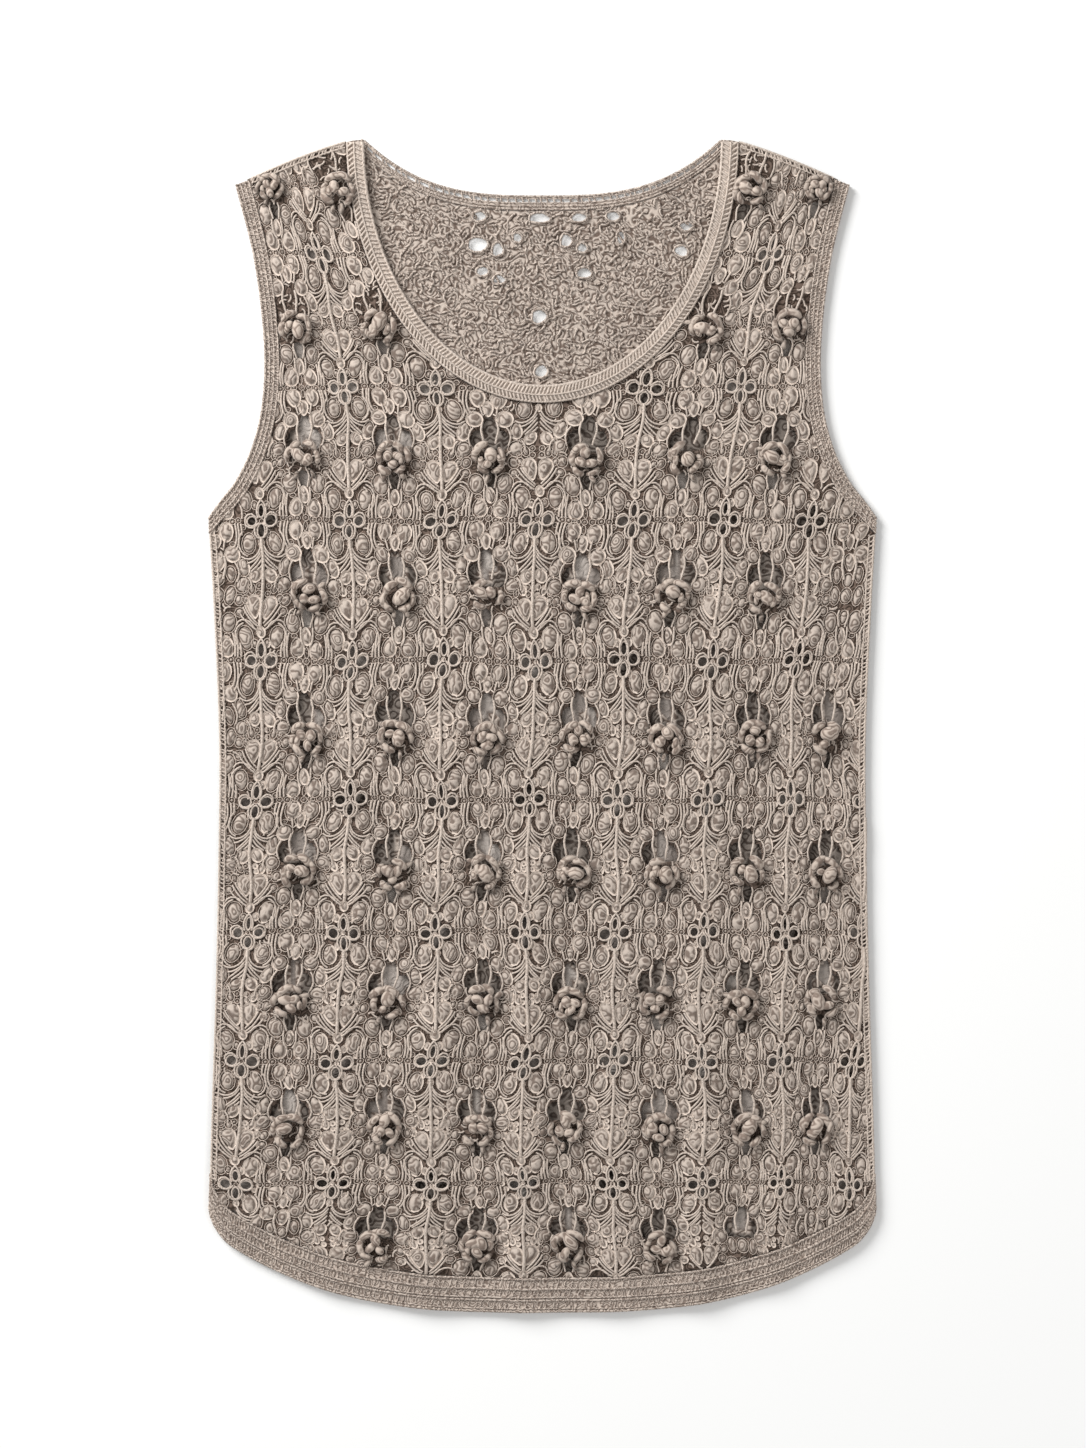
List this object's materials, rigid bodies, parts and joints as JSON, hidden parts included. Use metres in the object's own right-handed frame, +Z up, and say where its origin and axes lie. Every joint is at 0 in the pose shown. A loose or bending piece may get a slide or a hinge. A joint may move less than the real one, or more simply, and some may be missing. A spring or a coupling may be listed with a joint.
{
  "type": "crochet lace vest",
  "caption": "Sleeveless pull-on vest of cotton crochet lace, laid flat with its front on its back, with a scoop neck, a curved hem and raised crochet flowers.",
  "frame": {"origin": "on the surface that the vest lies on, under the middle of its box", "axes": "+Z up, out of the front of the vest; +Y from the hem to the neck; +X to the right as one looks at the front"},
  "size_m": [0.4, 0.7025, 0.0122],
  "materials": {
    "lace": "matt mercerised cotton crochet lace, taupe",
    "edging": "matt cotton crochet edging, taupe"
  },
  "bodies": {
    "root": {"front_panel": "lace", "back_panel": "lace", "neck_binding_front": "edging", "neck_band_back": "edging", "armhole_band_front_left": "edging", "armhole_band_front_right": "edging", "armhole_band_back_left": "edging", "armhole_band_back_right": "edging", "hem_band_front": "edging", "hem_band_back": "edging"}
  },
  "joints": []
}
